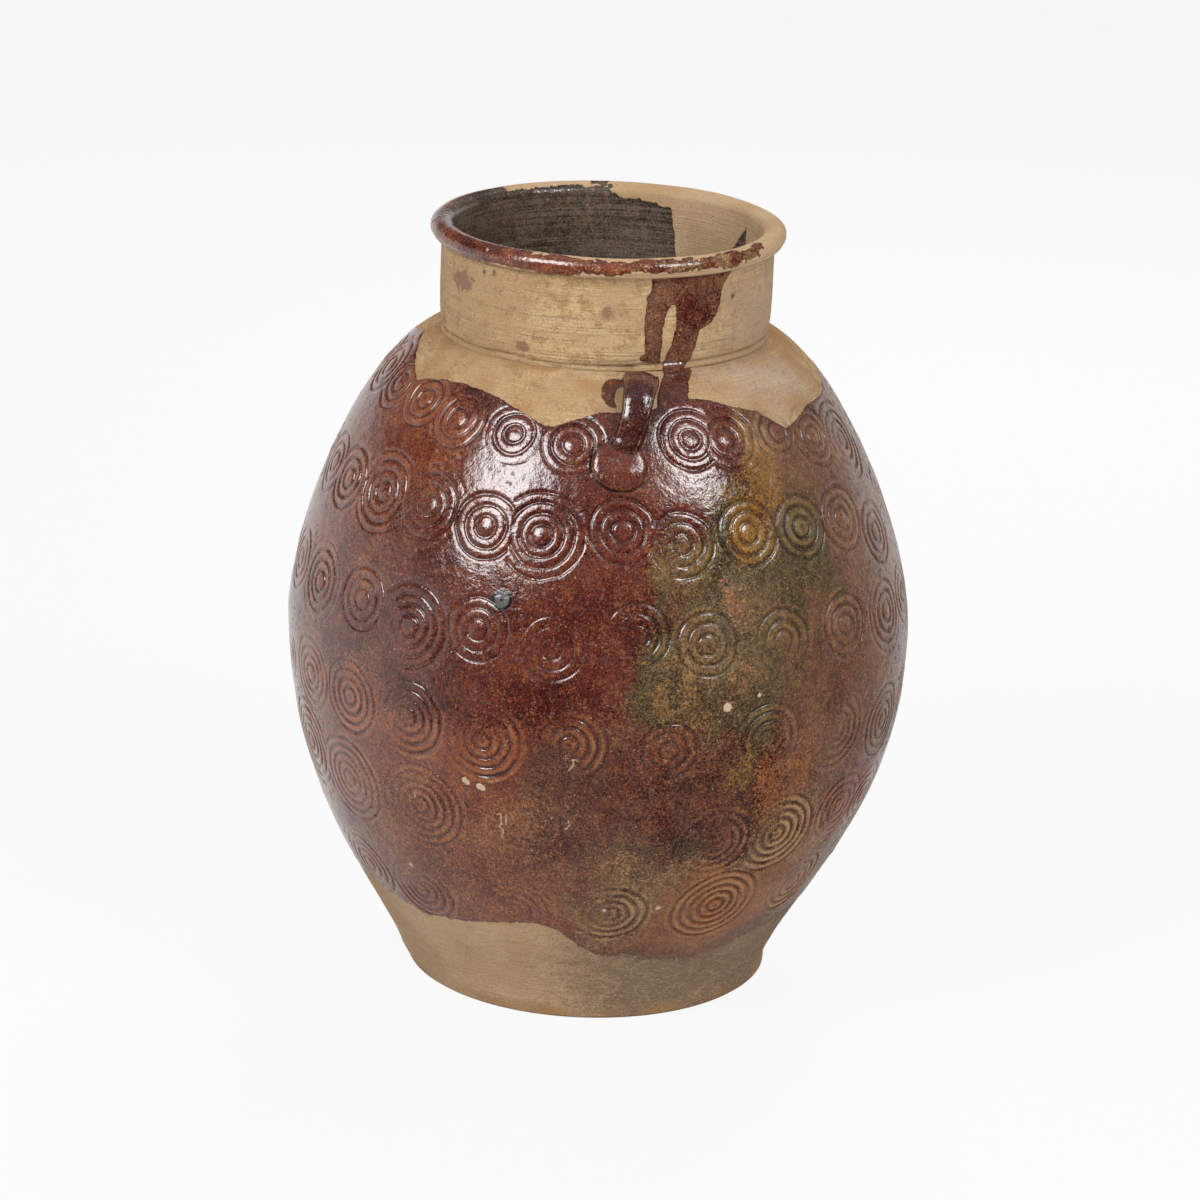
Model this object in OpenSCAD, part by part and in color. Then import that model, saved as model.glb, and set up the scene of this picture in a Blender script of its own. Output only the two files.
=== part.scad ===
// Martaban jar: a coil-built stoneware storage jar with a luted neck and two
// cord lugs. Each piece is one clay element as it left the potter's hands.
// Millimetres, +Z up. The origin is the middle of the foot, on the ground.
// The lugs stand on the -Y and +Y sides.

/* [Body] */
// Height of the seam where the neck is luted to the shoulder
body_h = 428; // [400:1:470]
// Radius of the foot on the ground
foot_r = 118; // [105:0.5:130]
// Lean of the wall outwards at the foot, in degrees
foot_flare = 17; // [12:0.5:22]
// How far up the foot's lean is kept before the wall bends to the belly
foot_pull = 66; // [50:1:80]
// Radius of the belly
belly_r = 201.5; // [185:0.5:215]
// Height of the widest part of the belly
belly_z = 235; // [215:1:250]
// Fullness of the belly below its widest part
belly_pull_low = 124; // [100:1:135]
// Fullness of the belly above its widest part
belly_pull_high = 68; // [50:1:85]
// Radius of the shoulder where the neck stands
seam_r = 104; // [96:0.5:112]
// Fall of the shoulder beside the neck, in degrees
shoulder_slope = 5; // [2:0.5:14]
// How far out the shoulder keeps that fall
shoulder_pull = 39; // [30:1:50]

/* [Clay] */
// Thickness of the wall
wall_t = 9; // [7:0.5:12]
// Thickness of the base slab
base_t = 12; // [9:0.5:16]
// Bevel that breaks the sharp edge of the foot
foot_edge = 1.5; // [0.5:0.25:3]
// How far each scarf joint slopes up through the wall
scarf = 6; // [2:0.5:10]
// Height of the plain foot course, measured along the wall
foot_course_w = 73; // [60:1:86]
// Width of the plain shoulder course, measured along the wall
shoulder_course_w = 21.5; // [16:0.5:28]

/* [Neck and rim] */
// Height of the neck from its seam to the top of the rim
neck_h = 72; // [56:1:90]
// Thickness of the neck where it stands on the shoulder
neck_wall = 6; // [5:0.5:8]
// How much wider the neck is at mid height than at its seam
neck_swell = 2; // [0:0.25:4]
// Height above the seam at which that swelling is complete
neck_pull = 18; // [10:1:30]
// Radius of the rolled bead of the rim
bead_r = 6.5; // [5:0.25:8]
// How far the bead stands out from the neck
rim_overhang = 7; // [5:0.25:9]

/* [Lugs] */
// Distance along the wall from the neck seam to the middle of the strap
lug_drop = 33; // [30:0.5:38]
// Half the length of the strap's arch
strap_half = 26.5; // [24:0.5:29]
// Rise of the arch over its own chord
strap_rise = 20; // [17:0.5:23]
// Depth of that chord under the wall's face
strap_sink = 3; // [2:0.25:4]
// Thickness of the strap
strap_t = 5.5; // [4:0.25:6.5]
// Width of the strap at its top
strap_top_w = 22; // [18:0.5:26]
// Width of the strap at the pad
strap_low_w = 17; // [14:0.5:20]
// Distance along the wall from the middle of the strap to the middle of the pad
pad_drop = 37; // [34:0.5:40]
// Radius of the pressed pad
pad_r = 17; // [14:0.5:19]
// How far the pad stands out from the wall
pad_t = 4; // [3:0.25:5]
// Radius of the pad's soft edge
pad_edge = 3; // [2:0.25:4]
// Lean of each lug off the upright, in degrees
lug_lean = 12; // [0:1:16]

/* [Hidden] */
$fn = 96;
seat_fn = 360;
stamped_courses = 6;
curve_steps = 40;
course_steps = 8;
arc_steps = 12;
arch_steps = 40;
probe = 1;
over = 1;
arch_under = 15;

buff = "#c9a777";
glaze_dark = "#5b3328";
glaze_light = "#7a4a2c";
pad_brown = "#4b2a22";

// A cubic curve from a to d, pulled towards b and then c
function bend(a, b, c, d, t) =
    pow(1 - t, 3) * a + 3 * pow(1 - t, 2) * t * b + 3 * (1 - t) * t * t * c + t * t * t * d;
function curve(a, b, c, d) = [for (i = [0:curve_steps]) bend(a, b, c, d, i / curve_steps)];
function arc(centre, rx, ry, from, to, steps) =
    [for (i = [0:steps]) let (a = from + (to - from) * i / steps)
        centre + [rx * cos(a), ry * sin(a)]];
function reversed(list) = [for (i = [len(list) - 1:-1:0]) list[i]];

// The outer face of the body, as radius and height, from the foot to the neck seam
foot_pt = [foot_r, 0];
belly_pt = [belly_r, belly_z];
seam_pt = [seam_r, body_h];
foot_side = curve(foot_pt, foot_pt + foot_pull * [sin(foot_flare), cos(foot_flare)],
    belly_pt - [0, belly_pull_low], belly_pt);
neck_side = curve(belly_pt, belly_pt + [0, belly_pull_high],
    seam_pt + shoulder_pull * [cos(shoulder_slope), -sin(shoulder_slope)], seam_pt);
face = concat(foot_side, [for (i = [1:curve_steps]) neck_side[i]]);

// Places on the face are given by their run, the distance along it from the foot
function step_len(i) = i + 1 < len(face) ? norm(face[i + 1] - face[i]) : 0;
face_run = [for (i = 0, s = 0; i < len(face); s = s + step_len(i), i = i + 1) s];
radius_table = [for (i = [0:len(face) - 1]) [face_run[i], face[i].x]];
height_table = [for (i = [0:len(face) - 1]) [face_run[i], face[i].y]];
function on_face(s) = [lookup(s, radius_table), lookup(s, height_table)];
function outwards(s) = let (d = on_face(s + probe) - on_face(s - probe)) [d.y, -d.x] / norm(d);
function inside(s) = on_face(s) - wall_t * outwards(s);

seam_run = face_run[len(face) - 1];
base_run = lookup(base_t, [for (i = [0:len(face) - 1]) [face[i].y, face_run[i]]]);
base_run_inside = lookup(base_t, [for (s = face_run) [inside(s).y, s]]);
shoulder_start = seam_run - shoulder_course_w;
course_w = (shoulder_start - foot_course_w) / stamped_courses;
function course_start(n) = foot_course_w + (n - 1) * course_w;
function spread(from, to) = [for (i = [0:course_steps]) from + (to - from) * i / course_steps];

neck_r = seam_r + neck_swell;
bore_r = seam_r - neck_wall;
rim_top = body_h + neck_h;
rim_seat = rim_top - 2 * bead_r;
bead_at = [neck_r + rim_overhang - bead_r, rim_top - bead_r];
neck_bend = [neck_r, body_h + neck_pull];
neck_face = curve(seam_pt, neck_bend, neck_bend, [neck_r, rim_seat]);

lug_run = seam_run - lug_drop;
lug_out = outwards(lug_run);
lug_tilt = atan2(lug_out.y, lug_out.x);
arch_at = on_face(lug_run) - strap_sink * lug_out;
pad_run = lug_run - pad_drop;
pad_out = outwards(pad_run);
pad_tilt = atan2(pad_out.y, pad_out.x);
pad_at = on_face(pad_run);
strap_reach = strap_half + over;

// A course of the wall between two runs, with a scarf joint at each end
module course(from, to) {
    rotate_extrude()
        polygon(concat([for (s = spread(from, to)) on_face(s)],
            [for (s = reversed(spread(from + scarf, to + scarf))) inside(s)]));
}

module base_disc() {
    color(buff)
        rotate_extrude()
            polygon([[0, 0], [foot_r - foot_edge, 0], on_face(foot_edge),
                on_face(base_run), [0, base_t]]);
}

// The plain course that stands on the base slab
module foot_course() {
    color(buff)
        rotate_extrude()
            polygon(concat([for (s = spread(base_run, foot_course_w)) on_face(s)],
                [for (s = reversed(spread(base_run_inside, foot_course_w + scarf))) inside(s)]));
}

// The stamped courses, counted up from the foot
module wall_course(n) {
    color(n % 2 == 0 ? glaze_dark : glaze_light)
        course(course_start(n), course_start(n + 1));
}

// The plain course that closes the shoulder in and carries the neck on its lip
module shoulder_course() {
    color(buff)
        rotate_extrude()
            polygon(concat([for (s = spread(shoulder_start, seam_run)) on_face(s)],
                [[bore_r, body_h], [bore_r, body_h - wall_t]],
                [for (s = reversed(spread(shoulder_start + scarf, seam_run))) inside(s)]));
}

module neck_collar() {
    color(buff)
        rotate_extrude()
            polygon(concat(neck_face, [[bore_r, rim_seat], [bore_r, body_h]]));
}

// The rolled bead, rounded over into the bore
module rim_roll() {
    color(glaze_light)
        rotate_extrude()
            polygon(concat([[bore_r, rim_seat]],
                arc(bead_at, bead_r, bead_r, -90, 90, arc_steps),
                arc(bead_at, bead_at.x - bore_r, bead_r, 90, 180, arc_steps)));
}

// All that lies inside the outer face of the body and neck
module jar_mass() {
    rotate_extrude($fn = seat_fn)
        polygon(concat([[0, 0]], face, neck_face, [[0, rim_seat]]));
}

// Stands a lug on the -Y side, in the plane of the jar's axis, and leans it
module on_shoulder() {
    middle = [0, -arch_at.x, arch_at.y];
    translate(middle)
        rotate(a = -lug_lean, v = [0, -lug_out.x, lug_out.y])
            children();
}

// The pressed pad, square to the wall, before it is trimmed to the wall
module pad_blank() {
    translate([0, arch_at.x - pad_at.x, pad_at.y - arch_at.y])
        rotate([90 - pad_tilt, 0, 0])
            rotate_extrude()
                polygon(concat([[0, -pad_t], [pad_r, -pad_t]],
                    arc([pad_r - pad_edge, pad_t - pad_edge], pad_edge, pad_edge, 0, 90,
                        arc_steps),
                    [[0, pad_t]]));
}

// The arched strap, narrower towards the pad, before it is trimmed to the wall
module strap_blank() {
    rotate([90 - lug_tilt, 0, 0])
        intersection() {
            rotate([90, 0, 90])
                linear_extrude(height = strap_top_w, center = true)
                    polygon(concat(
                        arc([0, 0], strap_half, strap_rise, -arch_under, 180 + arch_under,
                            arch_steps),
                        arc([0, 0], strap_half - strap_t, strap_rise - strap_t,
                            180 + arch_under, -arch_under, arch_steps)));
            linear_extrude(height = 2 * strap_rise + over, center = true)
                polygon([[-strap_low_w / 2, -strap_reach], [strap_low_w / 2, -strap_reach],
                    [strap_top_w / 2, strap_reach], [-strap_top_w / 2, strap_reach]]);
        }
}

module lug_pad() {
    color(pad_brown)
        difference() {
            on_shoulder() pad_blank();
            jar_mass();
        }
}

module lug_strap() {
    color(glaze_dark)
        difference() {
            on_shoulder() strap_blank();
            on_shoulder() pad_blank();
            jar_mass();
        }
}

base_disc();
foot_course();
wall_course(1);  // wall_course_1
wall_course(2);  // wall_course_2
wall_course(3);  // wall_course_3
wall_course(4);  // wall_course_4
wall_course(5);  // wall_course_5
wall_course(6);  // wall_course_6
shoulder_course();
neck_collar();
rim_roll();
lug_strap();  // front_lug_strap
lug_pad();  // front_lug_pad
rotate(180) lug_strap();  // rear_lug_strap
rotate(180) lug_pad();  // rear_lug_pad
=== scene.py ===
import math

import bpy
import numpy as np
from mathutils import Matrix, Vector


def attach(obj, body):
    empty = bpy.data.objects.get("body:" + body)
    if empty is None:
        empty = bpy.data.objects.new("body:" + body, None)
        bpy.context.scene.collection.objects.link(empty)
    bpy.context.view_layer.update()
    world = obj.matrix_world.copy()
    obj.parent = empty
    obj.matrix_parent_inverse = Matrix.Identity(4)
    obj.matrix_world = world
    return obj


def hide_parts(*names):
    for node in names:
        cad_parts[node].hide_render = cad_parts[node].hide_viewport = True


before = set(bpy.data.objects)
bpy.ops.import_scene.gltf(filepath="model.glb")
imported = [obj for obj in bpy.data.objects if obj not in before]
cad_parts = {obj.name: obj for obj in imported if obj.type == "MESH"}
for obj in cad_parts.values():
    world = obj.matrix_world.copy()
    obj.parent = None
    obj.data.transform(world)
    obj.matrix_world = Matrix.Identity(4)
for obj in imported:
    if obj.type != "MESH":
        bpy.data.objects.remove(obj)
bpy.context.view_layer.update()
scene = bpy.context.scene
mm = 0.001
print("frame loaded:", len(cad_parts), "clay pieces")

# ---------------------------------------------------------------- the jar's own curve
# The same values as in the CAD source, millimetres and degrees
body = dict(
    footRadius=118, footFlare=17, footPull=66,
    bellyRadius=201.5, bellyHeight=235, bellyPullLow=124, bellyPullHigh=68,
    seamRadius=104, seamHeight=428, shoulderSlope=5, shoulderPull=39,
    wall=9, base=12, footEdge=1.5, scarf=6,
    footCourse=73, shoulderCourse=21.5, courses=6,
    turns=1200,      # points round the jar
    row=0.92,        # spacing of the rows on the outer face
    hiddenRow=9.0,   # spacing of the rows inside
)


def bend(a, b, c, d, count):
    t = np.linspace(0, 1, count)[:, None]
    a, b, c, d = (np.array(p, float) for p in (a, b, c, d))
    return (1 - t) ** 3 * a + 3 * (1 - t) ** 2 * t * b + 3 * (1 - t) * t * t * c + t ** 3 * d


def bodyFace():
    foot = (body["footRadius"], 0)
    belly = (body["bellyRadius"], body["bellyHeight"])
    seam = (body["seamRadius"], body["seamHeight"])
    flare, slope = math.radians(body["footFlare"]), math.radians(body["shoulderSlope"])
    low = bend(foot, (foot[0] + body["footPull"] * math.sin(flare), body["footPull"] * math.cos(flare)),
               (belly[0], belly[1] - body["bellyPullLow"]), belly, 400)
    high = bend(belly, (belly[0], belly[1] + body["bellyPullHigh"]),
                (seam[0] + body["shoulderPull"] * math.cos(slope),
                 seam[1] - body["shoulderPull"] * math.sin(slope)), seam, 400)
    return np.vstack([low, high[1:]])


face = bodyFace()
faceRun = np.concatenate([[0], np.cumsum(np.linalg.norm(np.diff(face, axis=0), axis=1))])
seamRun = faceRun[-1]
shoulderStart = seamRun - body["shoulderCourse"]
courseWidth = (shoulderStart - body["footCourse"]) / body["courses"]


def onFace(run):
    return np.stack([np.interp(run, faceRun, face[:, 0]), np.interp(run, faceRun, face[:, 1])], -1)


def outwards(run):
    d = onFace(np.asarray(run) + 1) - onFace(np.asarray(run) - 1)
    return np.stack([d[..., 1], -d[..., 0]], -1) / np.linalg.norm(d, axis=-1, keepdims=True)


def insideFace(run):
    return onFace(run) - body["wall"] * outwards(run)


def runAt(z):
    return np.interp(z, face[:, 1], faceRun)


# ---------------------------------------------------------------- small tools
lattice = np.random.default_rng(41).random((32, 32, 32))


def grain(points, size, shift=0):   # smooth noise from -1 to 1, its lumps about size mm across
    turned = points @ np.array([[0.80, 0.36, -0.48], [-0.60, 0.48, -0.64], [0.0, 0.80, 0.60]])
    place = turned / size + shift
    cell = np.floor(place).astype(int)
    part = place - cell
    part = part * part * (3 - 2 * part)
    total = 0
    for corner in range(8):
        step = np.array([corner & 1, corner >> 1 & 1, corner >> 2 & 1])
        weight = np.prod(np.where(step == 1, part, 1 - part), axis=-1)
        at = (cell + step) % 32
        total = total + weight * lattice[at[..., 0], at[..., 1], at[..., 2]]
    return total * 2 - 1


def ease(value, low, high):
    t = np.clip((value - low) / (high - low), 0, 1)
    return t * t * (3 - 2 * t)


def apart(a, b):   # the turn from b to a, in degrees
    return (a - b + 180) % 360 - 180


def pointsOf(piece):
    flat = np.zeros(len(piece.data.vertices) * 3)
    piece.data.vertices.foreach_get("co", flat)
    return flat.reshape(-1, 3) / mm


def movePoints(piece, points):
    piece.data.vertices.foreach_set("co", (points * mm).ravel())
    piece.data.update()


def keep(piece, name, values):   # stores one number a point, for the finish to read
    layer = piece.data.attributes.get(name) or piece.data.attributes.new(name, "FLOAT", "POINT")
    layer.data.foreach_set("value", np.asarray(values, np.float32))


def turnedPiece(name, outline, turns=None):
    # one point is drawn out along the outline, and the line is turned on the jar's axis
    bpy.ops.object.select_all(action="DESELECT")
    bpy.ops.mesh.primitive_plane_add(size=mm, location=(outline[0][0] * mm, 0, outline[0][1] * mm))
    piece = bpy.context.object
    bpy.ops.object.transform_apply(location=True, rotation=True, scale=True)
    bpy.ops.object.mode_set(mode="EDIT")
    bpy.ops.mesh.merge(type="CENTER")
    for a, b in zip(outline, outline[1:]):
        bpy.ops.mesh.extrude_vertices_move(
            TRANSFORM_OT_translate={"value": ((b[0] - a[0]) * mm, 0, (b[1] - a[1]) * mm)})
    bpy.ops.object.mode_set(mode="OBJECT")
    lathe = piece.modifiers.new("lathe", "SCREW")
    lathe.steps = lathe.render_steps = turns or body["turns"]
    lathe.use_merge_vertices = True
    lathe.merge_threshold = 0.01 * mm
    bpy.ops.object.modifier_apply(modifier=lathe.name)
    bpy.ops.object.mode_set(mode="EDIT")
    bpy.ops.mesh.select_all(action="SELECT")
    bpy.ops.mesh.remove_doubles(threshold=0.01 * mm)
    bpy.ops.mesh.normals_make_consistent(inside=False)
    bpy.ops.object.mode_set(mode="OBJECT")
    piece.name = piece.data.name = name
    return piece


def finishPiece(piece, node, material, angle=52):
    bpy.ops.object.select_all(action="DESELECT")
    piece.select_set(True)
    bpy.context.view_layer.objects.active = piece
    bpy.ops.object.shade_smooth_by_angle(angle=math.radians(angle))
    piece.data.materials.clear()
    piece.data.materials.append(material)
    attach(piece, "root")
    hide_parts(node)


# ---------------------------------------------------------------- the shape's unevenness
# The thrown body isn't true: its axis wanders by up to 2 mm
wander = dict(heights=(0, 45, 90, 135, 190, 235, 290, 330, 370, 400, 428, 500),
              sideways=(-2.2, -1.6, -0.4, 1.1, 1.9, 1.5, 0.7, 0.0, -0.9, -1.3, -1.2, -0.6),
              sight=-7.5)


def wandered(points):
    shift = np.interp(points[:, 2], wander["heights"], wander["sideways"])
    shift = shift - 0.4
    across = math.radians(wander["sight"])
    moved = points.copy()
    fade = ease(points[:, 2], 0, 12)
    moved[:, 0] += shift * math.cos(across) * fade
    moved[:, 1] += shift * math.sin(across) * fade
    return moved


# ---------------------------------------------------------------- the stamps
# Each front stamp: turn round the jar as the camera sees it, run up the wall in mm, reach in mm,
# strength, and the side on which it bit deepest, in degrees from the right, if it is uneven
stamps = dict(
    turn=-7.5,
    period=(5.9, 5.9, 6.0, 6.6, 6.8, 6.6),
    groove=1.05,
    depth=0.85,
    boss=0.55,
    front=(
        ((-57.8, 102, 30, 0.7, None), (-39.5, 100, 29, 0.8, -70), (-16, 101, 28, 0.35, 0),
         (5.3, 103.6, 28, 0.7, -20), (29.4, 104.5, 33, 1.1, None), (52.7, 104.5, 27, 0.8, -30)),
        ((-69.5, 183, 33, 1.0, None), (-53.2, 175, 34, 0.7, None), (-33.5, 176, 33, 0.7, 5),
         (-12.5, 176, 30, 0.25, 0), (24.5, 161, 30, 0.8, 0), (38.6, 159, 32, 1.25, -10),
         (56, 164, 27, 0.6, None), (67.3, 159, 28, 0.7, None)),
        ((-64.4, 236, 30, 0.7, None), (-50, 236, 28, 0.8, None), (-35, 236.5, 30, 0.8, 0),
         (-20, 231, 30, 1.0, -25), (-4.4, 234, 26, 1.0, 50), (13.3, 231, 23, 0.9, None),
         (32.3, 231.5, 27, 1.1, 45), (49.2, 225, 30, 0.8, -20), (66.4, 215, 28, 0.9, None)),
        ((-78, 299, 25, 1.0, None), (-64, 298, 27, 1.0, None), (-48.7, 301, 23, 0.9, None),
         (-36, 294.5, 30, 1.1, 20), (-22, 301, 23, 0.9, None), (-8, 294.5, 23, 1.0, -40),
         (7.5, 304.5, 24, 1.0, 40), (20.5, 297, 25, 0.9, None), (36, 293, 25, 1.0, 60),
         (52, 292.5, 25, 0.9, None), (67.6, 287, 27, 1.0, None)),
        ((-78, 366, 23, 1.0, None), (-66, 366, 25, 1.0, None), (-51.5, 369, 28, 0.9, None),
         (-38, 369, 28, 1.0, 15), (-23.5, 364, 26, 1.1, None), (-11.5, 363, 29, 1.2, None),
         (5, 368, 25, 1.1, None), (17, 359, 26, 1.1, 10), (32, 362, 24, 1.1, None),
         (45.5, 359, 24, 1.0, None), (59, 356, 25, 0.9, None), (72, 336, 26, 0.9, None)),
        ((-81.5, 437, 25, 0.9, None), (-67, 435, 21, 0.9, None), (-52, 433, 22, 1.0, None),
         (-38, 427, 23, 0.8, None), (-21.5, 424, 20, 1.1, None), (-6.5, 421, 21, 1.1, None),
         (22.5, 424, 24, 1.0, None), (32.5, 422, 22, 1.0, None), (48.5, 420, 20, 1.0, None),
         (61, 410, 24, 1.0, None), (74.5, 398, 30, 1.0, 0)),
    ),
    spacing=(22, 17, 15.2, 13.8, 13.6, 14.3),
    backRun=(103, 171, 232, 297, 362, 424),
)


def allStamps():
    dice = np.random.default_rng(7)
    made = []
    for row, known in enumerate(stamps["front"]):
        period = stamps["period"][row]
        first, last = known[0][0] + stamps["turn"], known[-1][0] + stamps["turn"]
        for angle, run, reach, strength, side in known:
            made.append((angle + stamps["turn"], run, reach, strength, side, period))
        gap = first + 360 - last
        count = max(1, round(gap / stamps["spacing"][row]) - 1)
        runs = np.linspace(known[-1][1], known[0][1], count + 2)[1:-1]
        for i in range(count):
            swing = stamps["backRun"][row] - runs[i]
            share = math.sin(math.pi * (i + 1) / (count + 1))
            side = dice.uniform(-70, 70) if dice.random() < 0.4 else None
            made.append((last + gap * (i + 1) / (count + 1) + dice.normal(0, 0.6),
                         runs[i] + swing * share + dice.normal(0, 2.5), dice.uniform(22, 29),
                         dice.uniform(0.7, 1.15), side, period))
    return made


def stampField(angle, run, points):
    rings, bite, nearest = np.zeros(len(run)), np.zeros(len(run)), np.full(len(run), 9.0)
    radius = onFace(run)[:, 0]
    for centre, height, reach, strength, side, period in stampList:
        across = np.radians(apart(angle, centre)) * radius
        up = run - height
        near = np.nonzero((np.abs(across) < 38) & (np.abs(up) < 38))[0]
        if not len(near):
            continue
        x, y = across[near], up[near]
        away = np.hypot(x, y) + 0.5 * grain(points[near], 8, 5.1)
        share = away / reach
        power = strength * (1 - ease(share, 0.86, 1.04))
        if side is not None:
            facing = np.cos(np.arctan2(y, x) - math.radians(side))
            power = power * (0.22 + 0.78 * ease(facing, -0.75, 0.35)) * ease(away, -2, 4)
        power = power * (0.85 + 0.55 * grain(points[near], 11, 3.7))
        better = (share < nearest[near]) & (share < 1.05)
        chosen = near[better]
        nearest[chosen] = share[better]
        rings[chosen] = away[better] / period
        bite[chosen] = np.clip(power[better], 0, 1.3)
    return rings, bite


def relief(rings, bite, period=6.4):
    ring = np.round(rings)
    groove = np.exp(-((rings - ring) * period / stamps["groove"]) ** 2) * (ring >= 1)
    boss = np.exp(-(rings * period / 3.4) ** 2)
    return bite * (stamps["boss"] * boss - stamps["depth"] * groove - 0.12)


# ---------------------------------------------------------------- where the glaze runs
glaze = dict(
    thick=0.4,
    # turn as the camera sees it, and run up the wall where the glaze ends
    upper=((-85, 467), (-80, 462), (-75, 459), (-70, 453), (-65, 446), (-60, 441), (-57, 445),
           (-50, 449), (-42, 450), (-35, 449), (-30, 447), (-25, 443), (-21, 439), (-15, 433),
           (-12, 432), (-7, 437), (0, 443), (7, 444), (14, 445), (18, 450), (22, 452), (27, 451),
           (31, 449), (38, 442), (45, 436), (50, 425), (52, 421), (55, 422), (60, 425), (66, 429),
           (78, 428), (100, 436), (130, 446), (160, 438), (185, 431), (210, 441), (240, 449),
           (262, 458)),
    lower=((-62, 85), (-50, 78), (-42, 75), (-38, 76), (-30, 80), (-25, 83), (-19, 87), (-15, 89),
           (-10, 90), (-6, 85), (-1, 70), (3, 63), (8, 60), (11, 63), (15, 57), (20, 55), (30, 50),
           (35, 54), (45, 62), (60, 68), (90, 74), (120, 66), (150, 78), (190, 70), (230, 84),
           (265, 76), (285, 84)),
)


def edgeRun(line, angle):
    at = np.array([a for a, s in line]) + stamps["turn"]
    runs = np.array([s for a, s in line], float)
    return np.interp((angle - at[0]) % 360 + at[0], np.append(at, at[0] + 360), np.append(runs, runs[0]))


# Runs of glaze that came down the neck: heights or runs, and the turns of their two sides
drips = dict(
    neck=((427, 14, 29), (429, 14.6, 28.6), (433, 14.6, 31.2), (434.5, 12.6, 31.4), (437, 12.3, 31.8),
          (439, 14.0, 32.2), (445, 13.8, 32.9), (452, 13.6, 33.9), (455, 13.5, 37.9), (460.5, 13.4, 40.4),
          (466, 13.6, 42), (475, 13.8, 42.6), (479, 15.2, 43.2), (483, 15.4, 45), (489, 15.2, 48)),
    window=((431, 20.4, 20.5), (434, 19.6, 21.2), (441, 19.7, 22.6), (447, 19.9, 23.4), (455, 19.8, 24.5),
            (465, 21.0, 24.4), (469, 22.4, 24.0), (471, 23.3, 23.4)),
    shoulder=((444, 15, 23), (450, 15.5, 24.6), (455, 16, 25.4), (465, 18, 27.4), (472, 20, 30),
              (479, 21, 31.7)),
    crescent=(3.9, 458, 8.8, 6.1, 453.5, 5.4),
    tongueEnd=432.6,
)


def strip(line, angle, at, radius):   # millimetres inside the strip's two sides
    place, left, right = (np.array(column, float) for column in zip(*line))
    a = apart(angle, stamps["turn"])
    inside = np.minimum(a - np.interp(at, place, left), np.interp(at, place, right) - a)
    return np.radians(inside) * radius


def neckGlaze(angle, z, points):
    ragged = 0.35 * grain(points, 3, 2.4)
    depth = strip(drips["neck"], angle, z, 105)
    window = np.where(z < 471, strip(drips["window"], angle, z, 105), -40)
    tongue = np.where(apart(angle, stamps["turn"]) < 20.5, z - drips["tongueEnd"], 40)
    return np.minimum(np.minimum(depth, -window), tongue) + ragged


def glazeDepth(angle, run, points):   # millimetres inside the glaze's edge
    ragged = 0.8 * grain(points, 5, 1.3) + 0.5 * grain(points, 2.2, 5.1)
    top = edgeRun(glaze["upper"], angle) - run + 0.5 * ragged
    low = run - edgeRun(glaze["lower"], angle) + 1.5 * ragged
    depth = np.minimum(top, low)
    radius = onFace(run)[:, 0]
    spill = np.where(run > 443, strip(drips["shoulder"], angle, run, radius), -40)
    turn, height, reach, holeTurn, holeHeight, hole = drips["crescent"]
    far = np.hypot(np.radians(apart(angle, turn + stamps["turn"])) * radius, (run - height) * 0.75)
    near = np.hypot(np.radians(apart(angle, holeTurn + stamps["turn"])) * radius, (run - holeHeight) * 0.6)
    crescent = np.minimum(reach - far, near - hole)
    return np.maximum(depth, np.maximum(spill, crescent) + 0.3 * ragged)


def patch(angle, run, centre, width, height):   # a soft oval, 1 in its middle
    across = apart(angle, centre + stamps["turn"]) / width
    up = (run - height[0]) / height[1]
    return np.exp(-(across ** 2 + up ** 2))


# Where each kind of glaze lies: strength, its two sides in turns as the camera sees them, its lowest and
# highest run
glazePlaces = dict(
    # The worn zone: lighter, browner worn glaze; its two upper-left patches (runs 300 to 470) are also a painted sheen,
    # lighter where the light falls on the upper left
    wornAndSheen=((0.80, -98, 8, 30, 255), (0.52, -100, -44, 300, 470), (0.62, -68, -32, 378, 450), (0.42, -100, -58, 230, 310), (0.62, 34, 110, 40, 200),
          (0.42, 250, 278, 240, 470), (0.72, 110, 265, 30, 210)),
    slate=((0.56, -14, 34, 130, 256), (0.28, -64, -4, 90, 240), (0.40, 126, 204, 140, 265)),
    dusk=((0.92, 36, 122, 180, 450), (0.46, 24, 48, 270, 355), (0.45, 20, 36, 226, 305),
          (0.55, 200, 255, 190, 340)),
    olive=((0.66, 9, 33, 244, 358), (0.62, 25, 55, 312, 398), (0.58, 21, 36, 204, 304),
           (0.44, -4, 24, 86, 166), (0.50, 1, 15, 240, 298), (0.50, 15, 32, 336, 388), (0.42, 34, 46, 256, 336),
           (0.62, 146, 194, 240, 410), (0.5, 114, 144, 290, 370)),
    ochre=((0.85, 31, 44, 372, 438), (0.60, 26, 40, 330, 394), (0.48, 17, 32, 198, 240),
           (0.48, 10, 22, 246, 296), (0.7, 136, 170, 350, 440)),
    tan=((0.62, 27, 49, 114, 198), (0.72, -4, 26, 74, 146), (0.35, 8, 40, 48, 80), (0.45, 38, 78, 66, 146),
         (0.6, 186, 234, 70, 160)),
    ember=((0.95, 14, 47, 78, 136), (1.0, 4, 46, 36, 88), (0.70, 28, 43, 182, 232), (0.55, 19, 30, 298, 340),
           (0.5, 18, 29, 246, 288), (0.34, -54, 0, 80, 206), (0.5, 38, 72, 54, 106), (0.5, 226, 264, 64, 146)),
)


def glazePlace(angle, run, left, right, low, high):   # 1 well inside the four sides, 0 outside
    middle, half = (left + right) / 2, (right - left) / 2
    across = half - np.abs(apart(angle, middle + stamps["turn"]))
    up = (high - low) / 2 - np.abs(run - (low + high) / 2)
    return ease(across, -5, 8) * ease(up, -18, 26)


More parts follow.
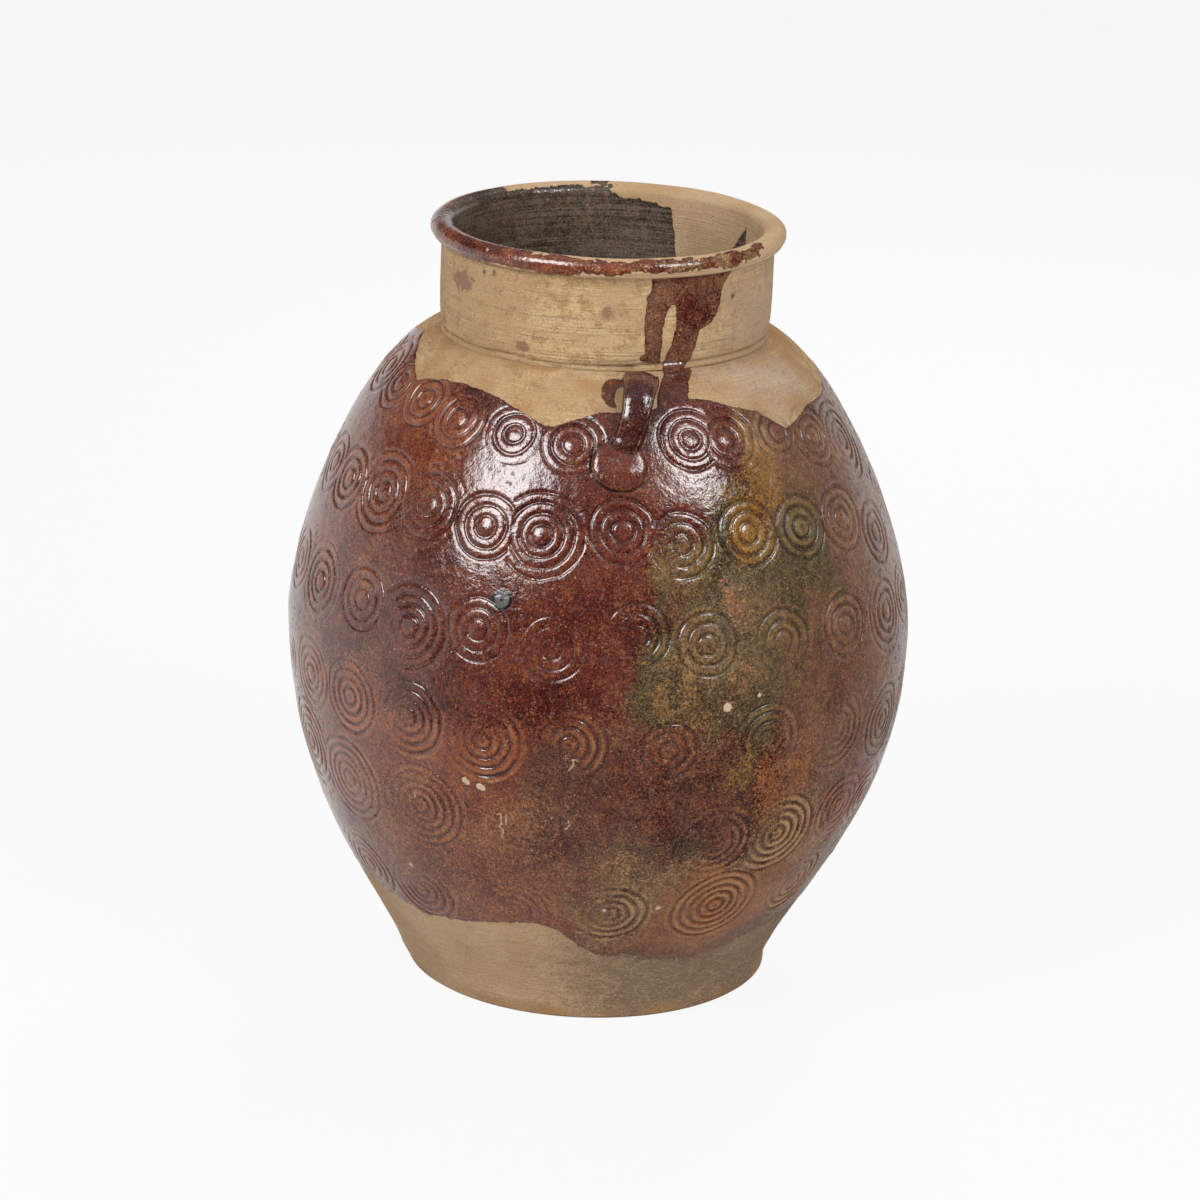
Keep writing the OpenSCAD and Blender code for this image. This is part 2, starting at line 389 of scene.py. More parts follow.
def glazeZones(angle, run, points):
    tall = points * (1, 1, 0.3)
    stray = angle + 4.2 * grain(tall, 28, 2.2) + 3.0 * grain(tall, 8, 8.4)
    climb = run + 16 * grain(points, 32, 6.6) + 7 * grain(points, 10, 4.4)
    uneven = 0.34 * grain(tall, 11, 7.1)
    return {zone: np.clip(sum(share * glazePlace(stray, climb, *sides) for share, *sides in places)
                          * (1 + uneven), 0, 1) for zone, places in glazePlaces.items()}


# ---- lug place
lug = dict(
    drop=33, half=26.5, rise=20, sink=3, thick=5.5, topWidth=23, lowWidth=15.5, lean=12, drift=-4.6,
    shift=4.1, flare=0.42, square=1.12, foot=3.0, slant=0.28, down=3.0,
    padDrop=37, padRadius=17, padHeight=3.8, padSunk=1.6, gap=1.4,
    stations=150, around=72, lip=0.8, bulge=2.3, folds=0.8,
)
lugRun = seamRun - lug["drop"]
lugOut = outwards(lugRun)
lugTilt = math.atan2(lugOut[1], lugOut[0])
archAt = onFace(lugRun) - lug["sink"] * lugOut
outwardAxis = Vector((0, -lugOut[0], lugOut[1]))
flatTurn = math.pi / 2 - lugTilt
lugFrame = (Matrix.Translation(Vector((0, -archAt[0], archAt[1])))
            @ Matrix.Rotation(math.radians(-lug["lean"]), 4, outwardAxis) @ Matrix.Rotation(flatTurn, 4, "X"))


def carried(points, matrix):
    m = np.array(matrix)
    return points @ m[:3, :3].T + m[:3, 3]


padOn = onFace(lugRun - lug["padDrop"])
padShift = Vector((0, archAt[0] - padOn[0], padOn[1] - archAt[1]))
padMiddle = carried(np.array([Matrix.Rotation(-flatTurn, 3, "X") @ padShift]), lugFrame)[0]
padRun = float(runAt(padMiddle[2]))
padTurn = math.degrees(math.atan2(padMiddle[0], -padMiddle[1]))


def padOutline(turn):   # the pad's reach from its middle, by direction in radians
    return lug["padRadius"] * (1 + 0.035 * np.cos(2 * turn + 0.5) + 0.02 * np.cos(3 * turn + 2.0))


def padCrack(angle, run, points):   # the open joint round the pad, widest at its left and underside
    radius, total = onFace(run)[:, 0], 0
    for turn in (padTurn, padTurn + 180):
        x, y = np.radians(apart(angle, turn)) * radius, run - padRun
        direction = np.arctan2(y, x)
        beyond = np.hypot(x, y) - padOutline(direction)
        opened = np.clip(0.62 - 0.28 * np.sin(direction) - 0.46 * np.cos(direction), 0, 1)
        opened = opened * (0.95 + 0.5 * grain(points, 7, 4.4))
        total = total + np.exp(-((beyond - 0.5) / 0.74) ** 2) * opened
    return np.clip(total, 0, 1)


stampList = allStamps()
print("stamps:", len(stampList))


# ---------------------------------------------------------------- finishes
class Wire:
    # a socket that can be reckoned with like a number
    def __init__(self, finish, socket):
        self.finish, self.socket = finish, socket

    def reckon(self, operation, a, b):
        return self.finish.node("ShaderNodeMath", {"operation": operation}, [a, b])

    def __add__(self, other):
        return self.reckon("ADD", self, other)

    def __sub__(self, other):
        return self.reckon("SUBTRACT", self, other)

    def __rsub__(self, other):
        return self.reckon("SUBTRACT", other, self)

    def __mul__(self, other):
        return self.reckon("MULTIPLY", self, other)

    def __truediv__(self, other):
        return self.reckon("DIVIDE", self, other)

    def __pow__(self, other):
        return self.reckon("POWER", self, other)

    __radd__, __rmul__ = __add__, __mul__


class Finish:
    # the nodes of one material, or of the world; the calls below make them
    def __init__(self, owner, **fixed):
        owner.use_nodes = True
        self.owner, self.tree = owner, owner.node_tree
        self.shader = self.tree.nodes.get("Principled BSDF") or self.tree.nodes["Background"]
        for socket, value in fixed.items():
            self.shader.inputs[socket.replace("_", " ")].default_value = value
        self.place = self.node("ShaderNodeTexCoord", {}, {}, "Object")

    def node(self, kind, settings, inputs, output=0):
        made = self.tree.nodes.new(kind)
        stops = settings.pop("stops", None)
        for key, value in settings.items():
            setattr(made, key, value)
        if stops:
            ramp = made.color_ramp.elements
            while len(ramp) < len(stops):
                ramp.new(0.5)
            for element, (at, colour) in zip(ramp, stops):
                element.position, element.color = at, colour
        for key, value in (inputs.items() if isinstance(inputs, dict) else enumerate(inputs)):
            if isinstance(value, Wire):
                self.tree.links.new(value.socket, made.inputs[key])
            elif value is not None:
                made.inputs[key].default_value = value
        return Wire(self, made.outputs[output])

    def put(self, socket, wire):
        self.tree.links.new(wire.socket, self.shader.inputs[socket])

    def stored(self, name):
        return self.node("ShaderNodeAttribute", {"attribute_name": name}, {}, "Fac")

    def step(self, value, low, high):
        return self.node("ShaderNodeMapRange", {"interpolation_type": "SMOOTHSTEP"},
                         {"Value": value, "From Min": low, "From Max": high})

    def mottle(self, size, detail=2.0, rough=0.5, place=None):   # noise, size in mm
        return self.node("ShaderNodeTexNoise", {},
                         {"Vector": place or self.place, "Scale": 1 / (size * mm), "Detail": detail,
                          "Roughness": rough})

    def stretched(self, x, y, z):
        return self.node("ShaderNodeMapping", {}, {"Vector": self.place, "Scale": (x, y, z)})

    def specks(self, size):   # distance from the nearest of many scattered grains
        return self.node("ShaderNodeTexVoronoi", {}, {"Vector": self.place, "Scale": 1 / (size * mm)})

    def ray(self, kind):
        return self.node("ShaderNodeLightPath", {}, {}, kind)

    def blend(self, a, b, share):
        return self.node("ShaderNodeMix", {"data_type": "FLOAT"}, {0: share, 2: a, 3: b})

    def tint(self, a, b, share):
        return self.node("ShaderNodeMix", {"data_type": "RGBA"}, {0: share, 6: a, 7: b}, 2)

    def bumps(self, height, distance, strength=1.0):
        self.put("Normal", self.node("ShaderNodeBump", {},
                                     {"Strength": strength, "Distance": distance * mm, "Height": height}))


def paint(r, g, b):
    return (r, g, b, 1.0)


clayColours = dict(
    buff=paint(0.420, 0.262, 0.122), pale=paint(0.545, 0.380, 0.190), ochre=paint(0.345, 0.180, 0.068),
    dull=paint(0.535, 0.357, 0.212), soil=paint(0.172, 0.106, 0.060), ash=paint(0.42, 0.34, 0.28),
    iron=paint(0.07, 0.035, 0.02), mauve=paint(0.22, 0.108, 0.066))
glazeColours = dict(
    orange=paint(0.42, 0.165, 0.045), slate=paint(0.075, 0.054, 0.052), pool=paint(0.020, 0.009, 0.006),
    cream=paint(0.50, 0.38, 0.25), sand=paint(0.30, 0.19, 0.10), grey=paint(0.095, 0.088, 0.088), black=paint(0.006, 0.005, 0.005))
# Each kind of glaze: its dark, middle and pale grains, and how far it must be present to show
glazeTones = dict(
    maroon=(paint(0.026, 0.005, 0.004), paint(0.086, 0.016, 0.010), paint(0.168, 0.042, 0.018), 0),
    # Worn glaze tones; on the upper left of the body they also serve as a painted sheen
    wornAndSheen=(paint(0.068, 0.015, 0.009), paint(0.162, 0.038, 0.018), paint(0.270, 0.084, 0.030), 0.20),
    slate=(paint(0.032, 0.015, 0.012), paint(0.103, 0.038, 0.026), paint(0.225, 0.082, 0.030), 0.22),
    dusk=(paint(0.058, 0.026, 0.018), paint(0.138, 0.051, 0.027), paint(0.240, 0.114, 0.056), 0.20),
    olive=(paint(0.020, 0.016, 0.008), paint(0.070, 0.046, 0.018), paint(0.190, 0.112, 0.032), 0.20),
    ochre=(paint(0.062, 0.034, 0.011), paint(0.175, 0.077, 0.016), paint(0.300, 0.150, 0.036), 0.22),
    tan=(paint(0.085, 0.036, 0.015), paint(0.185, 0.088, 0.032), paint(0.370, 0.215, 0.085), 0.20),
    ember=(paint(0.110, 0.034, 0.015), paint(0.235, 0.078, 0.024), paint(0.360, 0.155, 0.048), 0.22),
    deep=(paint(0.012, 0.004, 0.004), paint(0.040, 0.007, 0.005), paint(0.100, 0.024, 0.011), 0.30),
    inner=(paint(0.026, 0.018, 0.013), paint(0.078, 0.058, 0.043), paint(0.150, 0.122, 0.097), 0.30),
)


def clayColour(f):
    c = clayColours
    broad, mid, fine = f.mottle(40, 3.0), f.mottle(9, 4.0, 0.65), f.mottle(1.5, 3.0, 0.7)
    sand = f.mottle(0.8, 2.0, 0.6)
    lines = f.mottle(7, 5.0, 0.75, f.stretched(0.07, 0.07, 5.5))
    strokes = f.mottle(10, 3.0, 0.6, f.stretched(0.05, 0.05, 4.0)) - 0.5
    thrown = f.stored("thrown")
    colour = f.tint(c["buff"], c["pale"], f.step(broad * 0.5 + lines * 0.5, 0.46, 0.57) * 0.9)
    colour = f.tint(colour, c["ochre"], f.step(mid * 0.5 + fine * 0.3 + broad * 0.2, 0.48, 0.60) * 0.85)
    colour = f.tint(colour, c["soil"], f.step(lines * 0.7 + fine * 0.3, 0.51, 0.60) * thrown * 0.50)
    colour = f.tint(colour, c["soil"], f.step(sand, 0.55, 0.66) * 0.34)
    colour = f.tint(colour, c["pale"], f.step(sand, 0.45, 0.36) * 0.40)
    hair = f.node("ShaderNodeMath", {"operation": "ABSOLUTE"}, [strokes])
    colour = f.tint(colour, c["iron"], f.step(hair, 0.014, 0.002) * f.step(broad, 0.44, 0.56) * thrown * 0.5)
    colour = f.tint(colour, c["dull"], f.stored("dull") * (0.35 + 0.60 * f.step(0.6 * broad + 0.4 * mid, 0.42, 0.56)))
    colour = f.tint(colour, c["ash"], f.stored("ash") * (0.6 + 0.4 * f.step(mid, 0.45, 0.55)))
    soil = f.step(f.stored("soil") + 1.0 * (mid - 0.5) + 1.5 * (fine - 0.5), 0.06, 0.90)
    colour = f.tint(colour, c["soil"], soil * 0.9)
    scratches = f.step(f.mottle(2.2, 5.0, 0.8, f.stretched(0.7, 0.7, 1.5)), 0.52, 0.62)
    colour = f.tint(colour, c["pale"], scratches * 0.65 * f.stored("soil"))
    colour = f.tint(colour, c["ochre"], f.step(f.stored("stain") + 0.9 * (fine - 0.5), 0.25, 0.8) * 0.85)
    bruise = f.step(f.stored("bruise") + 1.4 * (f.mottle(5, 3.0) - 0.5), 0.35, 0.6)
    colour = f.tint(colour, c["mauve"], 0.85 * bruise)
    colour = f.tint(colour, c["iron"], f.stored("crack"))
    flecks = f.step(f.specks(2.4), 0.24, 0.08) * f.step(f.mottle(5), 0.48, 0.58)
    return f.tint(colour, c["iron"], 0.7 * flecks)


def glazeColour(f):
    c = glazeColours
    broad, mid = f.mottle(34, 3.0), f.mottle(6.5, 4.0, 0.62)
    fine, dust = f.mottle(1.6, 3.0, 0.7), f.mottle(0.8, 2.0, 0.6)
    runny = f.mottle(6.5, 4.0, 0.62, f.stretched(1, 1, 0.3))
    ringing, bite, thinGlazeAndLitInside = f.stored("rings"), f.stored("bite"), f.stored("thinGlazeAndLitInside")
    whole = f.node("ShaderNodeMath", {"operation": "ROUND"}, [ringing])
    off = f.node("ShaderNodeMath", {"operation": "ABSOLUTE"}, [ringing - whole])
    groove = f.step(off, 0.20, 0.05) * f.step(ringing, 0.5, 0.7) * bite
    crest = f.step(off, 0.24, 0.42) * bite
    tones = glazeTones["maroon"][:3]
    for zone, (dark, middle, pale, low) in glazeTones.items():
        if zone == "maroon":
            continue
        share = f.step(f.stored(zone) + 0.7 * (runny - 0.5) + 1.6 * (fine - 0.5), low, low + 0.45)
        tones = [f.tint(a, b, share) for a, b in zip(tones, (dark, middle, pale))]
    lines = f.mottle(6, 4.0, 0.6, f.stretched(0.06, 0.06, 4.0))
    level = 0.48 * fine + 0.22 * mid + 0.30 * dust + 0.26 * (broad - 0.5)
    # On the inside, the second term is painted light: the lit right part of the dark inner glaze is lifted to a paler
    # tone
    level = level + (0.55 * (lines - 0.5) + 0.06 * thinGlazeAndLitInside) * f.stored("inner")
    # Ring crests lighter: partly thinner glaze breaking on the ridges, partly a painted highlight along the ring edges;
    # grooves darker where the glaze pools
    level = level + (0.03 + 0.19 * thinGlazeAndLitInside) * crest - (0.03 + 0.14 * thinGlazeAndLitInside) * groove
    colour = f.tint(tones[1], tones[0], f.step(level, 0.492, 0.420))
    colour = f.tint(colour, tones[2], f.step(level, 0.522, 0.610))
    bald = crest * thinGlazeAndLitInside * f.step(f.mottle(12, 3.0, 0.7), 0.53, 0.60)
    colour = f.tint(colour, c["sand"], 0.75 * bald)
    pepper = f.step(0.75 * f.mottle(1.2, 2.0, 0.6) + 0.25 * broad, 0.545, 0.60)
    colour = f.tint(colour, c["slate"], 0.6 * pepper)
    orange = f.step(f.specks(2.4), 0.28, 0.12) * f.step(0.5 * f.mottle(13) + 0.5 * mid, 0.49, 0.56)
    blush = f.step(f.mottle(5, 3.0, 0.7), 0.55, 0.66) * f.step(broad, 0.44, 0.56)
    colour = f.tint(colour, c["orange"], 0.45 * orange + 0.16 * blush)
    crumbs = f.step(f.mottle(1.0, 2.0, 0.6), 0.59, 0.66) * f.step(f.stored("matt") + 0.8 * (mid - 0.5), 0.1, 1.1)
    colour = f.tint(colour, c["sand"], 0.6 * crumbs)
    dots = f.step(f.specks(5.5), 0.10, 0.06) * f.step(f.mottle(11), 0.50, 0.55)
    colour = f.tint(colour, c["cream"], 0.7 * dots)
    colour = f.tint(colour, c["orange"], 0.6 * f.stored("edge") * f.step(fine, 0.42, 0.55))
    colour = f.tint(colour, c["cream"], f.step(f.stored("chip") + 0.8 * (fine - 0.5), 0.1, 0.8))
    scar = f.stored("scar") + 0.15 * (mid - 0.5)
    colour = f.tint(colour, c["black"], f.step(scar, 0.10, 0.18))
    colour = f.tint(colour, c["grey"], f.step(scar, 0.32, 0.44))
    colour = f.tint(colour, c["black"], f.step(scar, 0.76, 0.86))
    return f.tint(colour, c["black"], f.stored("crack")), groove


def jarFinish():
    f = Finish(bpy.data.materials.new("glazedStoneware"), IOR=1.5, Specular_IOR_Level=0.85)
    clay = clayColour(f)
    glass, groove = glazeColour(f)
    depth = f.stored("glaze") + 2.6 * (f.mottle(2.0, 3.0, 0.6) - 0.5)
    share = f.step(depth, -0.20, 0.25)
    rim = f.step(depth, 2.2, 0.3)
    glass = f.tint(glass, glazeColours["pool"], 0.35 * rim)
    f.put("Base Color", f.tint(clay, glass, share))
    matt = f.stored("matt")
    pits = f.step(f.specks(6.0), 0.30, 0.20) * f.step(f.mottle(8), 0.46, 0.52)
    sheen = 0.06 + 0.09 * f.step(f.mottle(3.0, 3.0), 0.40, 0.62) + 0.21 * matt + 0.35 * pits
    f.put("Roughness", 0.85 - share * (0.85 - sheen))
    skin = 0.42 * f.mottle(1.2, 3.0, 0.6) + 0.8 * f.mottle(3.2, 2.0, 0.5) + 1.6 * f.mottle(9, 3.0, 0.5)
    skin = skin + 0.40 * f.step(f.specks(2.6), 0.24, 0.0) * f.step(f.mottle(6), 0.44, 0.56)
    gritty = 0.7 * f.mottle(0.9, 4.0, 0.7) + 1.2 * f.mottle(6, 4.0, 0.65, f.stretched(0.08, 0.08, 5.0))
    f.bumps(skin * share * 0.45 + gritty * (1 - share) * 1.5 - 0.5 * groove, 0.6)
    return f.owner


jarSkin = jarFinish()
print("finishes made")


# ---------------------------------------------------------------- the body, course by course
# Small marks: turn as the camera sees it, run, size in mm, kind
marks = ((-17.9, 321, 7.6, "scar"), (-23.7, 202, 2.5, "chip"), (-23.2, 200.6, 2.2, "chip"), (-20.8, 199.5, 2.6, "chip"),
         (-20.2, 198.6, 2.4, "chip"),
         (-40, 122, 2.0, "chip"), (15.7, 108, 2.2, "chip"), (4, 107, 1.8, "chip"), (23.7, 257, 3.6, "chip"),
         (30, 262, 1.6, "chip"), (150, 240, 2.6, "chip"), (205, 140, 2.4, "chip"))


scratches = (((-17.6, 181), (-16.8, 182), (-16.7, 176), (-17.2, 172), (-16.5, 170), (-16.8, 164)),
             ((-15.9, 181), (-16.0, 174)), ((-4.7, 175), (-4.0, 178), (-4.2, 182)),
             ((-4.5, 217), (-3.6, 221), (-3.8, 225), (-2.8, 224)), ((-35, 180), (-34.6, 184)))


def fromLine(line, angle, run, radius):   # millimetres from a line drawn on the wall
    nearest = np.full(len(run), 99.0)
    for start, end in zip(line, line[1:]):
        x, y = np.radians(apart(angle, start[0] + stamps["turn"])) * radius, run - start[1]
        dx, dy = np.radians(end[0] - start[0]) * radius, end[1] - start[1]
        along = np.clip((x * dx + y * dy) / (dx * dx + dy * dy), 0, 1)
        nearest = np.minimum(nearest, np.hypot(x - along * dx, y - along * dy))
    return nearest


def dressWall(piece, stamped=True):
    points = pointsOf(piece)
    radius = np.hypot(points[:, 0], points[:, 1])
    angle = np.degrees(np.arctan2(points[:, 0], -points[:, 1]))
    run = runAt(points[:, 2])
    outer = np.abs(radius - onFace(run)[:, 0]) < 0.35
    outer &= points[:, 2] > -0.01
    rings, bite = stampField(angle, run, points)
    depth = glazeDepth(angle, run, points)
    zones = glazeZones(angle, run, points)
    height = relief(rings, bite)
    height += 0.45 * grain(points, 42, 1.1) + 0.16 * grain(points, 13, 9.2) + 0.05 * grain(points, 4, 2.9)
    crack = padCrack(angle, run, points)
    height -= lug["gap"] * crack
    bare = 1 - ease(depth, -0.5, 1.0)
    flat = points * np.array([0.06, 0.06, 1.0])
    height += bare * (0.10 * grain(flat, 2.6, 7.7) + 0.08 * grain(flat, 1.3, 4.2))
    height += glaze["thick"] * ease(depth, -0.4, 1.6) - glaze["thick"] * 0.5
    height *= ease(points[:, 2], 1, 6)
    aim = outwards(run)
    direction = np.stack([aim[:, 0] * np.sin(np.radians(angle)), -aim[:, 0] * np.cos(np.radians(angle)),
                          aim[:, 1]], -1)
    points[outer] += (direction * height[:, None])[outer]
    movePoints(piece, wandered(points))
    keep(piece, "rings", rings)
    keep(piece, "bite", np.where(outer, bite, 0))
    soft = ease(apart(angle, stamps["turn"]), -4, 14) * ease(120 - run, 0, 20) * ease(run, 0, 12)
    soft = np.where(np.abs(apart(angle, 60)) < 100, soft, 0)
    keep(piece, "glaze", np.where(outer, depth * (1 - 0.90 * soft), 40 if stamped else -40))
    keep(piece, "crack", np.where(outer, ease(crack, 0.2, 0.6), 0))
    keep(piece, "inner", np.where(outer, 0, 1.0 * stamped))
    for name, zone in zones.items():
        keep(piece, name, zone)
    thinGlazeAndLitInside = zones["tan"] + 0.2 * zones["ochre"] + 0.25 * zones["olive"] + 0.7 * zones["wornAndSheen"]
    thinGlazeAndLitInside = (thinGlazeAndLitInside + 0.2 * zones["dusk"] + 0.45 * ease(275 - run, 0, 80)) * (0.65 + 0.5 * grain(points, 26, 3.8))
    keep(piece, "thinGlazeAndLitInside", np.clip(thinGlazeAndLitInside, 0, 1))
    matt = zones["dusk"] + 0.9 * zones["tan"] + 0.3 * zones["wornAndSheen"] + 0.4 * zones["ember"] + 0.3 * zones["slate"]
    matt += 0.8 * zones["olive"] * ease(352 - run, 0, 40)
    keep(piece, "matt", ease(matt, 0.1, 0.9))
    side = ease(apart(angle, stamps["turn"]), -22, 18) * ease(apart(angle, stamps["turn"]), 110, 60)
    low = ease(92 - run, 0, 12)
    keep(piece, "dull", np.clip(0.9 * low, 0, 1))
    keep(piece, "soil", np.clip(low * (0.12 + 0.70 * side) + 0.16 * (run > 418), 0, 1))
    keep(piece, "ash", np.clip(0.85 * patch(angle, run, 58, 17, (452, 24)) + 0.3 * patch(angle, run, 30, 30, (470, 10)), 0, 0.9))
    keep(piece, "thrown", np.full(len(run), 0.15) + 0.35 * low)
    toe = ease(22 - run, 0, 20) * (0.55 + 0.5 * grain(points, 20, 6.1))
    keep(piece, "stain", np.clip(0.8 * toe + 0.75 * (run > 418) * (0.6 + 0.6 * grain(points, 16, 2.9)), 0, 1))
    chip, scar = np.zeros(len(run)), np.zeros(len(run))
    for turn, place, size, kind in marks:
        across = np.radians(apart(angle, turn + stamps["turn"])) * radius
        share = 1 - np.hypot(across, run - place) / size
        if kind == "chip":
            chip = np.maximum(chip, np.clip(share * 2, 0, 1))
        else:
            scar = np.maximum(scar, np.clip(share, 0, 1))
    for line in scratches:
        chip = np.maximum(chip, np.clip(1.0 - fromLine(line, angle, run, radius) / 0.8, 0, 0.62))
    keep(piece, "chip", chip)
    keep(piece, "scar", scar)


def rowsBetween(start, end, spacing):
    return np.linspace(start, end, max(2, round(abs(end - start) / spacing) + 1))


def courseOutline(start, end):
    outer = onFace(rowsBetween(start, end, body["row"]))
    inner = insideFace(rowsBetween(end + body["scarf"], start + body["scarf"], body["hiddenRow"]))
    return [*outer, *inner, outer[0]]


for number in range(1, body["courses"] + 1):
    start = body["footCourse"] + (number - 1) * courseWidth
    course = turnedPiece(f"wall_course_{number}_glazed", courseOutline(start, start + courseWidth))
    dressWall(course)
    finishPiece(course, f"wall_course_{number}", jarSkin)
    print("wall course", number, len(course.data.polygons))

baseRun = float(runAt(body["base"]))
insideZ = insideFace(faceRun)[:, 1]
baseRunInside = float(np.interp(body["base"], insideZ, faceRun))

footOuter = onFace(rowsBetween(baseRun, body["footCourse"], 1.1))
footInner = insideFace(rowsBetween(body["footCourse"] + body["scarf"], baseRunInside, body["hiddenRow"]))
foot = turnedPiece("foot_course_clay", [*footOuter, *footInner, footOuter[0]])
dressWall(foot)
finishPiece(foot, "foot_course", jarSkin)

sole = body["footRadius"] - body["footEdge"]
discOuter = onFace(rowsBetween(body["footEdge"], baseRun, 1.1))
disc = turnedPiece("base_disc_clay", [(0, 0), (50, 0), (90, 0), (sole - 1, 0), (sole, 0), *discOuter,
                                      (body["footRadius"] - 12, body["base"]), (60, body["base"]),
                                      (0, body["base"])])
dressWall(disc, stamped=False)
finishPiece(disc, "base_disc", jarSkin)

shoulderOuter = onFace(rowsBetween(shoulderStart, seamRun, body["row"]))
neck = dict(height=72, wall=6, swell=2, pull=18, bead=6.5, overhang=7, row=1.1, innerRow=2.5,
            lines=0.13, wobble=0.35, seam=1.0, shelf=0.4,
            pits=((-45.8, 480.4), (-41.1, 481.5), (48, 470)))   # as the camera sees them, and height
bore = body["seamRadius"] - neck["wall"]
shoulderInner = insideFace(rowsBetween(seamRun - 0.5, shoulderStart + body["scarf"], 5))
shoulder = turnedPiece("shoulder_course_clay",
                       [*shoulderOuter, (bore, body["seamHeight"]), (bore, body["seamHeight"] - body["wall"]),
                        *shoulderInner, shoulderOuter[0]])
dressWall(shoulder)
finishPiece(shoulder, "shoulder_course", jarSkin)
print("foot, base and shoulder made")

# ---------------------------------------------------------------- the neck
neckRadius = body["seamRadius"] + neck["swell"]
rimTop = body["seamHeight"] + neck["height"]
rimSeat = rimTop - 2 * neck["bead"]
neckBend = (neckRadius, body["seamHeight"] + neck["pull"])
neckFace = bend((body["seamRadius"], body["seamHeight"]), neckBend, neckBend, (neckRadius, rimSeat), 54)


def around(points):
    return np.degrees(np.arctan2(points[:, 0], -points[:, 1]))


def pushOut(points, height, chosen):   # moves points straight away from the jar's axis
    radius = np.hypot(points[:, 0], points[:, 1])
    share = np.where(chosen, (radius + height) / np.maximum(radius, 1), 1)
    points[:, 0] *= share
    points[:, 1] *= share


def innerGlazeDepth(angle, z, points):
    # the dark glaze inside covers the left and back, up to an upright edge, and slopes down beside it
    a = apart(angle, stamps["turn"]) % 360
    ragged = 0.8 * grain(points, 5, 8.1) + 0.4 * grain(points, 2, 3.3)
    edge = np.radians(a - np.interp(z, (428, 455, 500), (150.5, 152.7, 156.6))) * bore
    other = np.radians(352 - a) * bore
    top = np.interp(a, (150, 156, 165, 173, 179, 182, 352), (485, 487, 488.5, 490.5, 493, 501, 503)) - z
    below = 487.5 - z
    smudge = 0.40 * below - np.abs(np.radians(a - 115 - 0.28 * below) * bore)
    smudge = np.minimum(smudge, z - 469)
    return np.maximum(np.minimum(np.minimum(edge, other), top + 1.5 * ragged), smudge) + ragged


def dressNeck(piece):
    points = pointsOf(piece)
    radius, angle, z = np.hypot(points[:, 0], points[:, 1]), around(points), points[:, 2]
    outer = radius > bore + 3
    inner = radius < bore + 0.5
    outDepth = neckGlaze(angle, z, points)
    inDepth = innerGlazeDepth(angle, z, points)
    tall = points * np.array([0.03, 0.03, 1.0])
    height = neck["lines"] * (grain(tall, 3.1, 2.2) + 0.8 * grain(tall, 1.6, 6.1))
    height += neck["wobble"] * grain(points, 40, 5.5) + 0.08 * grain(points, 6, 1.7)
    low = z - body["seamHeight"]
    seamLine = 3.0 + 1.6 * grain(points * np.array([1, 1, 0]), 34, 3.3)
    height -= neck["seam"] * np.exp(-((low - seamLine) / 0.9) ** 2)
    height += neck["shelf"] * ease(low, 3.2, 0.4)
    height += 0.3 * ease(outDepth, -0.4, 1.2)
    pushOut(points, np.where(inner, 0.5 * neck["wobble"] * grain(points, 40, 5.5)
                             + 0.22 * grain(tall, 7, 3.9), height) * ease(z, rimSeat + 1, rimSeat - 3),
            outer | inner)
    movePoints(piece, wandered(points))
    keep(piece, "glaze", np.where(inner, inDepth, outDepth))
    keep(piece, "inner", inner.astype(float))
    second = np.exp(-((low - seamLine - 3.4 - 0.8 * grain(points, 12, 6)) / 0.6) ** 2)
    torn = np.exp(-((apart(angle, stamps["turn"]) - 4) / 16) ** 2)
    crack = 0.55 * np.exp(-((low - seamLine) / 0.8) ** 2) * (0.8 + 0.5 * grain(points, 7, 5.7))
    for turn, height in neck["pits"]:
        away = np.hypot(np.radians(apart(angle, turn + stamps["turn"])) * radius, z - height)
        crack = np.maximum(crack, 1.5 * np.exp(-(away / 1.4) ** 2))
    keep(piece, "crack", outer * np.clip(crack * (1 + 0.9 * torn) + 0.7 * second * torn, 0, 1))
    stain = (patch(angle, z, 0.5, 3.2, (464, 5)) + 0.8 * patch(angle, z, -29, 5, (439, 5))
             + 0.6 * patch(angle, z, -33, 5, (462, 3)) + 0.5 * patch(angle, z, 13, 2, (470, 6)))
    keep(piece, "stain", outer * np.clip(stain, 0, 1))
    bruise = patch(angle, z, -58, 6.5, (470, 7.5)) + 0.85 * patch(angle, z, 0.6, 2.6, (465, 4.5))
    bruise += 0.8 * patch(angle, z, -29, 3.6, (438.5, 4.4)) + 0.6 * patch(angle, z, -33, 3, (462, 2.5))
    keep(piece, "bruise", outer * np.clip(bruise, 0, 1))
    keep(piece, "dusk", outer * (0.55 + 0.5 * grain(points, 14, 2.6)))
    keep(piece, "thrown", np.full(len(z), 1.0))
    keep(piece, "dull", 0.7 * inner)
    # Inside the neck this attribute is painted light: the right part of the dark inner glaze is made lighter where the
    # lamp's light falls in through the mouth
    keep(piece, "thinGlazeAndLitInside", inner * ease(apart(angle, stamps["turn"]) % 360, 215, 160))
    keep(piece, "ash", outer * 0.35 * patch(angle, z, 70, 30, (455, 40)))


neckOuter = [tuple(p) for p in neckFace]
neckInner = [(bore, z) for z in rowsBetween(rimSeat, body["seamHeight"], neck["innerRow"])]
collar = turnedPiece("neck_collar_clay", [*neckOuter, *neckInner, neckOuter[0]])
dressNeck(collar)
finishPiece(collar, "neck_collar", jarSkin)

# ---------------------------------------------------------------- the rolled rim
rim = dict(row=0.72, unevenness=0.45, lip=1.0)
beadCentre = np.array([neckRadius + neck["overhang"] - neck["bead"], rimTop - neck["bead"]])


